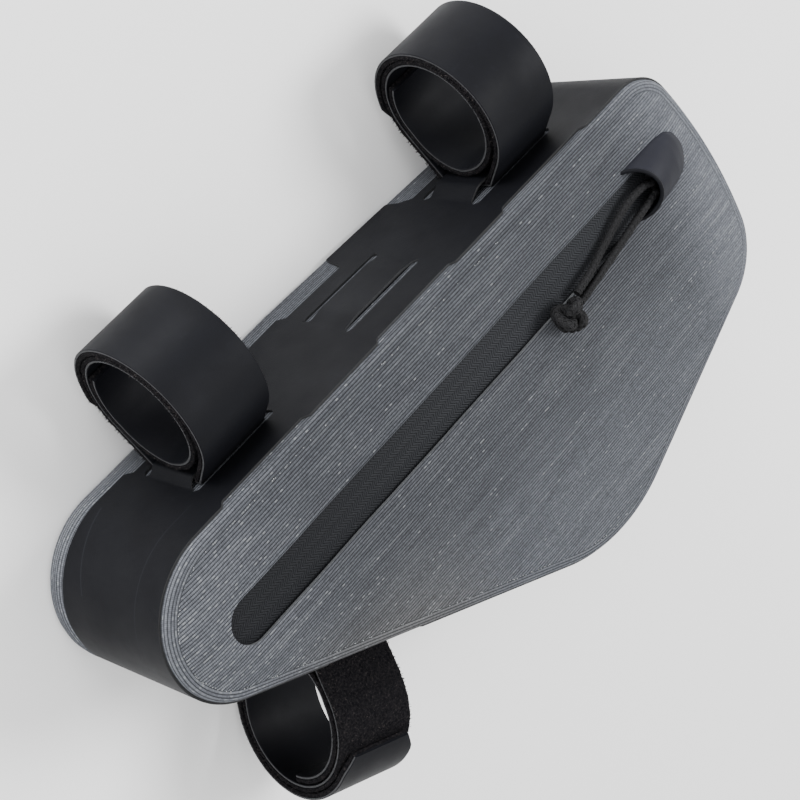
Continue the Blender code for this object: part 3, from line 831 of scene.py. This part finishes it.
def build_band(material, edge_material, rim_material):
    """The band: a thin sheet with S-shaped notches, round-ended slots and raised bridges."""
    bm = bmesh.new()
    layer = bm.loops.layers.uv.verify()
    outer, inner = [], []
    slot_cells, spare_cells = set(), set()
    for i, station in enumerate(BAND_OUTLINE):
        near, far = band_edges(station)
        pair, inside = pair_near(station, 0.0)
        spare = bool(pair) and not pair.strap
        near_in = SPARE_NEAR_INNER if spare else SLOT_INNER
        far_in = SPARE_FAR_INNER if spare else SLOT_INNER
        wide = SPARE_SLOT_WIDTH if spare else SLOT_WIDTH
        lift, opened = 0.0, 0.0
        if pair:
            lift = bridge_lift(pair, station.distance)
            round_part = min(1.0, inside / (wide * 0.5))
            opened = math.sqrt(max(0.0, 1 - (1 - round_part) ** 2))
        near_low, near_high = [near_in + wide / 2 * (1 + s * opened) for s in (-1, 1)]
        far_low, far_high = [far_in + wide / 2 * (1 + s * opened) for s in (-1, 1)]
        spots = [-far, -far + 0.0006, -(far + far_high) / 2, -far_high, -far_low]
        spots += [-far_low * t for t in (0.8, 0.55, 0.3, 0.1)]
        spots += [near_low * t for t in (0.1, 0.3, 0.55, 0.8)]
        spots += [near_low, near_high, (near + near_high) / 2, near - 0.0006, near]
        row_out, row_in = [], []
        for j, across in enumerate(spots):
            rise = lift if 4 <= j <= 13 else 0.0
            for row, extra in ((row_out, BAND_SHEET), (row_in, 0.0)):
                row.append(bm.verts.new(inset_point(station, -(BAND_REST + rise + extra), across)))
        outer.append(row_out)
        inner.append(row_in)
        if opened > 0.0:
            slot_cells.add(i)
            if spare:
                spare_cells.add(i)
    count, columns = len(BAND_OUTLINE), len(outer[0])
    spots_run = [s.run for s in BAND_OUTLINE] + [PERIMETER]

    def open_cell(i, j):
        k = (i + 1) % count
        return j in (3, 13) and (i in slot_cells or k in slot_cells)

    def add(corners, material_index, uvs):
        try:
            face = bm.faces.new(corners)
        except ValueError:
            return
        face.material_index = material_index
        for loop, uv in zip(face.loops, uvs):
            loop[layer].uv = uv

    for i in range(count):
        k = (i + 1) % count
        for j in range(columns - 1):
            if open_cell(i, j):
                continue
            u0, u1 = spots_run[i], spots_run[i + 1]
            v0, v1 = outer[i][j].co.z, outer[i][j + 1].co.z
            uvs = ((u0, v0), (u0, v1), (u1, v1), (u1, v0))
            add((outer[i][j], outer[i][j + 1], outer[k][j + 1], outer[k][j]), 0, uvs)
            add((inner[i][j], inner[i][j + 1], inner[k][j + 1], inner[k][j]), 0, uvs)
            for side, jj in ((j - 1, j), (j + 1, j + 1)):
                if side < 0 or side > columns - 2 or open_cell(i, side):
                    corners = (outer[i][jj], inner[i][jj], inner[k][jj], outer[k][jj])
                    add(corners, 2 if i in spare_cells and j > 9 else 1, uvs)
            for other, ii in (((i - 1) % count, i), (k, k)):
                if open_cell(other, j):
                    corners = (outer[ii][j], inner[ii][j], inner[ii][j + 1], outer[ii][j + 1])
                    add(corners, 1, uvs)
    bmesh.ops.remove_doubles(bm, verts=bm.verts, dist=0.00001)
    thing = finish_mesh("band_sheet", bm, [material, edge_material, rim_material], 35)
    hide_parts("rim_band")
    return thing


# Straps
TUFTS_ALONG = 5200
TUFTS_OVER = 900000


def tangent_angle(point, centre, radius, turn):
    away = point - centre
    return math.atan2(away.y, away.x) + turn * math.acos(radius / away.length)


def arc_path(centre, angles, radii):
    start, end = angles
    pieces = max(1, math.ceil(abs(end - start) / STRAP_STEP))
    path = []
    for n in range(pieces + 1):
        share = n / pieces
        angle = start + (end - start) * share
        radius = radii[0] + (radii[1] - radii[0]) * share
        path.append(centre + Vector((math.cos(angle), math.sin(angle))) * radius)
    return path


def strap_path(strap):
    """Centreline in the loop's plane from the hook end to the pile end, and the index under
    the bridge where one half gives way to the other."""
    pitch = STRAP_THICK + GAP
    base = GAP + STRAP_THICK / 2
    corner = Vector((STRAP_CORNER, base))
    outer_radius = strap.outer - STRAP_THICK / 2
    outer_centre = Vector((0.0, strap.outer + GAP))
    low = base + pitch + BAND_WALL + GAP
    high = outer_centre.y + outer_radius - pitch
    middle_radius = (high - low) / 2
    middle_centre = Vector((0.0, (high + low) / 2))
    inner_radius = middle_radius - pitch - GAP
    rise = tangent_angle(corner, outer_centre, outer_radius, 1)
    other = Vector((-corner.x, corner.y))
    fall = tangent_angle(other, middle_centre, middle_radius, -1) + 2 * math.pi
    hook_end, pile_end = math.radians(strap.hook_end), math.radians(strap.pile_end)
    path = arc_path(outer_centre, (hook_end, rise), (outer_radius, outer_radius))
    path.append(corner)
    turn = len(path)
    path += [Vector((0.0, base)), other]
    path += arc_path(middle_centre, (fall, -math.pi / 2), (middle_radius, middle_radius))
    tucked = math.radians(-150)
    path += arc_path(middle_centre, (-math.pi / 2, tucked), (middle_radius, inner_radius))[1:]
    path += arc_path(middle_centre, (tucked, pile_end), (inner_radius, inner_radius))[1:]
    return path, turn


def path_offsets(path):
    sides = []
    for n, point in enumerate(path):
        before = path[max(n - 1, 0)]
        after = path[min(n + 1, len(path) - 1)]
        into = (point - before) if n else (after - point)
        out = (after - point) if n < len(path) - 1 else into
        into, out = into.normalized(), out.normalized()
        mean = (into + out).normalized()
        side = Vector((-mean.y, mean.x))
        sides.append(side / max(0.5, side.dot(Vector((-into.y, into.x)))))
    return sides


def strap_place(strap):
    pair = next(p for p in SLOT_PAIRS if p.name == strap.slots)
    start, along, _, normal = edge_frame(EDGE_STARTS[pair.edge])
    low, high = pair_range(pair)
    return start + along * ((low + high) / 2 + strap.shift), along, normal


def sink_share(height):
    return min(1.0, max(0.0, (TAPER_FADE - height) / (TAPER_FADE - TAPER_HOLD)))


def build_ply(bm, spots, low, high, widths, to_strap, slots, rough=0.0, seed=0):
    """One ply of a strap: a strip between two offsets, with softly rounded long edges."""
    rings, run, runs = [], 0.0, []
    bevel = min(0.00022, (high - low) / 3)
    columns = 12
    for n, (point, side) in enumerate(spots):
        if n:
            run += (point - spots[n - 1][0]).length
        runs.append(run)
        half = widths[n]
        section = []
        for k in range(columns + 1):
            section.append((-half + bevel + (2 * half - 2 * bevel) * k / columns, high))
        section += [(half, high - bevel), (half, low + bevel)]
        for k in range(columns + 1):
            section.append((half - bevel - (2 * half - 2 * bevel) * k / columns, low))
        section += [(-half, low + bevel), (-half, high - bevel)]
        ring = []
        for across, off in section:
            if rough:
                spot = Vector((across * 900, run * 900, off * 2000 + seed))
                off += rough * noise.noise(spot)
                across += rough * 1.2 * noise.noise(spot + Vector((7, 3, 1)))
            ring.append(bm.verts.new(to_strap(point + side * off, across)))
        rings.append(ring)
    count = len(rings[0])
    cut_sides = (columns + 1, 2 * columns + 4)
    skin_rings(bm, rings, lambda i, j: (runs[min(i, len(runs) - 1)], j / count),
               slot_index=lambda j: slots[1] if j in cut_sides else slots[0])
    for ring in (rings[0], rings[-1]):
        face = bm.faces.new(ring)
        face.material_index = slots[0]


def add_tuft(bm, root, tip, along, to_strap, slot_index):
    """One short tuft of pile: a thin blade between two (point, across) places."""
    left, right = root[0] - along * 0.00014, root[0] + along * 0.00014
    spots = ((left, root[1]), (right, root[1]), tip)
    face = bm.faces.new([bm.verts.new(to_strap(*spot)) for spot in spots])
    face.material_index = slot_index


def add_tufts(bm, spots, widths, faces, open_side, to_strap, slot_index, seed):
    """Tufts along both edges of a pile ply, and over the face that lies open."""
    rng = np.random.default_rng(seed)
    for (a, side), (b, _), half in zip(spots, spots[1:], widths):
        along = (b - a).normalized()
        length = (b - a).length
        for edge in (-1, 1):
            for _ in range(max(1, round(length * TUFTS_ALONG))):
                spot = a.lerp(b, rng.random()) + side * rng.uniform(*faces)
                drift = along * rng.normal(0, 0.0004) + side * rng.normal(0, 0.0002)
                across = edge * (half - 0.0002)
                reach = across + edge * rng.uniform(0.0003, 0.0013)
                add_tuft(bm, (spot, across), (spot + drift, reach), along, to_strap, slot_index)
        for _ in range(round(length * 2 * half * TUFTS_OVER)):
            spot = a.lerp(b, rng.random()) + side * open_side
            drift = along * rng.normal(0, 0.0005)
            drift += side * math.copysign(rng.uniform(0.0002, 0.0007), open_side)
            across = rng.uniform(-half, half)
            tip = (spot + drift, across + rng.normal(0, 0.0004))
            add_tuft(bm, (spot, across), tip, along, to_strap, slot_index)


def build_strap(strap, rubber, edge, pile, hair):
    base, along, normal = strap_place(strap)
    path, turn = strap_path(strap)
    sides = path_offsets(path)

    def to_strap(p, across):
        spot, z = base + along * across, strap.side * p.x
        flat = spot + normal * (p.y - taper_at(spot, z) * sink_share(p.y))
        return to_row(flat.x, flat.y, z)

    runs = [0.0]
    for a, b in zip(path, path[1:]):
        runs.append(runs[-1] + (b - a).length)
    half = STRAP_WIDTH / 2
    widths = [half - max(0.0, TAB_CHAMFER - r) / 2 for r in runs]
    thick = STRAP_THICK / 2
    bm = bmesh.new()
    halves = ((range(0, turn + 1), 1), (range(turn, len(path)), -1))
    for span, smooth_side in halves:
        spots = [(path[n], sides[n]) for n in span]
        wide = [widths[n] for n in span]
        faces = sorted((smooth_side * thick, smooth_side * (thick - RUBBER_PLY)))
        build_ply(bm, spots, faces[0], faces[1], wide, to_strap, (0, 2))
        fuzz = sorted((smooth_side * (thick - RUBBER_PLY), -smooth_side * thick))
        narrow = [w + 0.0001 for w in wide]
        build_ply(bm, spots, fuzz[0], fuzz[1], narrow, to_strap, (1, 1), 0.00022, strap.side)
        add_tufts(bm, spots, narrow, fuzz, -smooth_side * thick, to_strap, 3, smooth_side + 5)
    thing = finish_mesh(strap.name + "_plies", bm, [rubber, pile, edge, hair], 35)
    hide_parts(strap.name)
    return thing


# Zip
LIP_RADIUS = 0.00075


def build_tape(name, sign, material):
    """Half of the coated tape, with a low rounded bead of coating along the closed seam."""
    left, right = ZIP_START + ZIP_HALF, ZIP_END - ZIP_HALF
    reach = ZIP_HALF + TAPE_MARGIN
    low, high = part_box(name)
    top = high.z - SHIFT.z
    bm = bmesh.new()
    steps, columns = 150, 14
    rings, spots = [], []
    for i in range(steps + 1):
        x = left - reach + 0.0004 + (right - left + 2 * reach - 0.0008) * i / steps
        past = max(0.0, left - x, x - right)
        limit = math.sqrt(max(0.0, reach**2 - past**2))
        ring = []
        for side_z in (0, 1):
            order = range(columns + 1) if side_z == 0 else range(columns, -1, -1)
            for j in order:
                across = limit * (j / columns) ** 1.5
                bead = 0.00004 * math.exp(-(((across - 0.0007) / 0.0006) ** 2))
                z = top - 0.0003 + bead if side_z == 0 else top - 0.001
                ring.append(bm.verts.new(to_row(x, sign * across - ZIP_DROP, z)))
        rings.append(ring)
        spots.append(x)
    layer = bm.loops.layers.uv.verify()
    skin_rings(bm, rings, lambda i, j: (0.0, 0.0))
    for ring in (rings[0], rings[-1]):
        bm.faces.new(ring)
    for face in bm.faces:
        for loop in face.loops:
            loop[layer].uv = (loop.vert.co.x, abs(loop.vert.co.y - SHIFT.y + ZIP_DROP))
    thing = finish_mesh(name + "_coating", bm, material, 60)
    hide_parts(name)
    return thing


def hood_shape(share):
    """Half width and height of the hood at a share of its length, eased between its rows."""
    rows = [(row.along, row.width, row.height) for row in HOOD_ROWS] + [(1.02, 0.0, 0.03)]
    spots = [share + d for d in (-0.04, -0.02, 0.0, 0.02, 0.04)] if share < 0.95 else [share]
    along, widths, heights = zip(*rows)
    width = sum(float(np.interp(spot, along, widths)) for spot in spots) / len(spots)
    height = sum(float(np.interp(spot, along, heights)) for spot in spots) / len(spots)
    return HOOD_HALF * width, HOOD_HEIGHT * height


def hood_point(share, turn, grow=0.0):
    width, height = hood_shape(share)
    x = HOOD_MOUTH + share * HOOD_LENGTH + HOOD_LEAN * (1 - min(share, 1.0)) * math.sin(turn)
    y = (width + grow) * math.cos(turn) - HOOD_DROP
    return to_row(x, y, PANEL_TOP - 0.0002 + (height + grow) * math.sin(turn))


def build_hood(material, lip_material):
    """The arched hood: it rises from the window's tail end, with a rolled lip at its mouth."""
    columns = 32
    shares = [k / 40 for k in range(40)] + [1.0, 1.008, 1.014, 1.02]
    bm = bmesh.new()
    turns = [math.pi * j / columns for j in range(columns + 1)]
    rings = [[bm.verts.new(hood_point(share, turn)) for turn in turns] for share in shares]
    skin_rings(bm, rings, lambda i, j: (i / 40, j / columns), closed_ring=False)
    thing = finish_mesh("zip_hood_shell", bm, material, 80)
    solid = thing.modifiers.new("wall", "SOLIDIFY")
    solid.thickness = 0.0010
    solid.offset = -1
    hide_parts("zip_hood")
    bm = bmesh.new()
    rings = []
    for turn in turns:
        centre = hood_point(0.0, turn, -0.0004)
        out = (hood_point(0.0, turn, 0.001) - hood_point(0.0, turn)).normalized()
        ahead = Vector((1, 0, 0))
        ring = []
        for k in range(10):
            angle = 2 * math.pi * k / 10
            spot = centre + (out * math.cos(angle) + ahead * math.sin(angle)) * LIP_RADIUS
            ring.append(bm.verts.new(spot))
        rings.append(ring)
    skin_rings(bm, rings, lambda i, j: (i / columns, j / 10))
    for ring in (rings[0], rings[-1]):
        bm.faces.new(ring)
    lip = finish_mesh("zip_hood_lip", bm, lip_material, 80)
    return thing


# Pull cord
def smooth_route(points, step):
    controls = [Vector(p) for p in points]
    padded = [2 * controls[0] - controls[1], *controls, 2 * controls[-1] - controls[-2]]
    route = []
    for a, b, c, d in zip(padded, padded[1:], padded[2:], padded[3:]):
        pieces = max(1, round((c - b).length / step))
        for n in range(pieces):
            t = n / pieces
            route.append(
                0.5 * (2 * b + (c - a) * t + (2 * a - 5 * b + 4 * c - d) * t**2)
                + 0.5 * (3 * b - a - 3 * c + d) * t**3
            )
    return [*route, controls[-1]]


def route_frames(route):
    """A side and an up vector at each point of a route that turn smoothly along it."""
    frames = []
    up = Vector((0, 0, 1))
    for n, point in enumerate(route):
        ahead = (route[min(n + 1, len(route) - 1)] - route[max(n - 1, 0)]).normalized()
        side = ahead.cross(up).normalized()
        up = side.cross(ahead).normalized()
        frames.append((side, up))
    return frames


YARNS = 5
YARN_RADIUS = 0.00046
CORE_SHARE = 0.84
BRAID_PITCH = 0.0095


def add_braid(bm, route, radius, phase=0.0):
    """A core with yarns wound both ways round it, passing over and under each other."""
    frames = route_frames(route)
    runs = [0.0]
    for a, b in zip(route, route[1:]):
        runs.append(runs[-1] + (b - a).length)
    turns = [2 * math.pi * k / 8 for k in range(8)]
    core = []
    for point, (side, up) in zip(route, frames):
        outs = [side * math.cos(turn) + up * math.sin(turn) for turn in turns]
        core.append([bm.verts.new(point + out * radius * CORE_SHARE) for out in outs])
    skin_rings(bm, core, lambda i, j: (0.0, 0.0))
    bm.faces.new(core[0])
    bm.faces.new(core[-1])
    for hand in (1, -1):
        for yarn in range(YARNS):
            rings = []
            for n, point in enumerate(route):
                side, up = frames[n]
                angle = hand * runs[n] / BRAID_PITCH * 2 * math.pi
                angle += yarn * 2 * math.pi / YARNS + phase
                weave = math.sin(YARNS * (angle - hand * 0.3)) * hand
                away = radius - YARN_RADIUS * 0.9 + 0.00010 * weave
                out = side * math.cos(angle) + up * math.sin(angle)
                round_it = up * math.cos(angle) - side * math.sin(angle)
                centre = point + out * away
                ring = []
                for k in range(5):
                    turn = 2 * math.pi * k / 5
                    shape = out * math.cos(turn) * 0.75 + round_it * math.sin(turn) * 1.25
                    ring.append(bm.verts.new(centre + shape * YARN_RADIUS))
                rings.append(ring)
            skin_rings(bm, rings, lambda i, j: (i / 9, j / 5))
            bm.faces.new(rings[0])
            bm.faces.new(rings[-1])


def build_cord(name, points, material):
    route = smooth_route([(x, y, PANEL_TOP + z) for x, y, z in points], 0.0004)
    route = [to_row(*p) for p in route]
    bm = bmesh.new()
    add_braid(bm, route, CORD_RADIUS)
    thing = finish_mesh(name + "_braid", bm, material, 80)
    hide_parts(name)
    return thing


def build_knot(material):
    """An overhand knot: a pinched three-lobed loop."""
    x, y = KNOT_PLACE
    centre = to_row(x, y, PANEL_TOP + GAP + KNOT_SIZE[2] / 2)
    turns = 220
    route = []
    for k in range(turns + 1):
        t = 2 * math.pi * k / turns
        px = (math.sin(t) + 2 * math.sin(2 * t)) / 3
        py = (math.cos(t) - 2 * math.cos(2 * t)) / 3
        pz = -math.sin(3 * t)
        route.append(centre + Vector((px * 0.0052, py * 0.0044, pz * 0.0026)))
    bm = bmesh.new()
    add_braid(bm, route, 0.0022)
    thing = finish_mesh("pull_knot_braid", bm, material, 80)
    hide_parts("pull_knot")
    return thing


def main():
    right, up, back = make_camera()
    make_stage(right, up, back)
    cord = braid("cord_yarn")
    knot = build_knot(cord)
    for name, points in CORD_ROUTES.items():
        build_cord(name, points, cord)
    side_cloth = ribbed_cloth("grey_cloth_side", "Object", CLOTH_TINT)
    strip_cloth = ribbed_cloth("grey_cloth_strip", "UV", CLOTH_TINT)
    # The zip window's cut edge is coloured dark as painted shade along the window's edge
    window_edge_shade = cut_edge("window_edge_painted_shade", (0.060, 0.063, 0.068))
    rubber = band_rubber("band_sheet_rubber", (0.0036, 0.0038, 0.0050), (0.0058, 0.0062, 0.0078),
                         embossed=True)
    rubber_edge = cut_edge("band_cut_edge", (0.012, 0.0125, 0.014))
    strap_edge = cut_edge("strap_cut_edge", (0.028, 0.029, 0.032))
    strap_rubber = band_rubber("strap_rubber", (0.0040, 0.0042, 0.0056), (0.0066, 0.0070, 0.0090))
    hood_rubber = band_rubber("hood_rubber_skin", (0.0115, 0.012, 0.0160), (0.0175, 0.018, 0.0235))
    pile, hair = fuzzy("strap_pile"), fibre("strap_fibres")
    build_gusset_cloth(strip_cloth)
    build_zip_side(side_cloth, window_edge_shade)
    build_seam(cut_edge("seam_thread", (0.30, 0.31, 0.32)))
    build_plain_side(side_cloth)
    build_band(rubber, rubber_edge, strap_edge)
    for strap in STRAPS:
        build_strap(strap, strap_rubber, strap_edge, pile, hair)
    coating = zip_coating("zip_tape_coating")
    build_tape("zip_tape_upper", 1, coating)
    build_tape("zip_tape_lower", -1, coating)
    build_hood(hood_rubber, strap_rubber)
    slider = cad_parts["zip_slider"]
    slider.data.materials.clear()
    slider.data.materials.append(dark_metal("slider_paint"))


main()
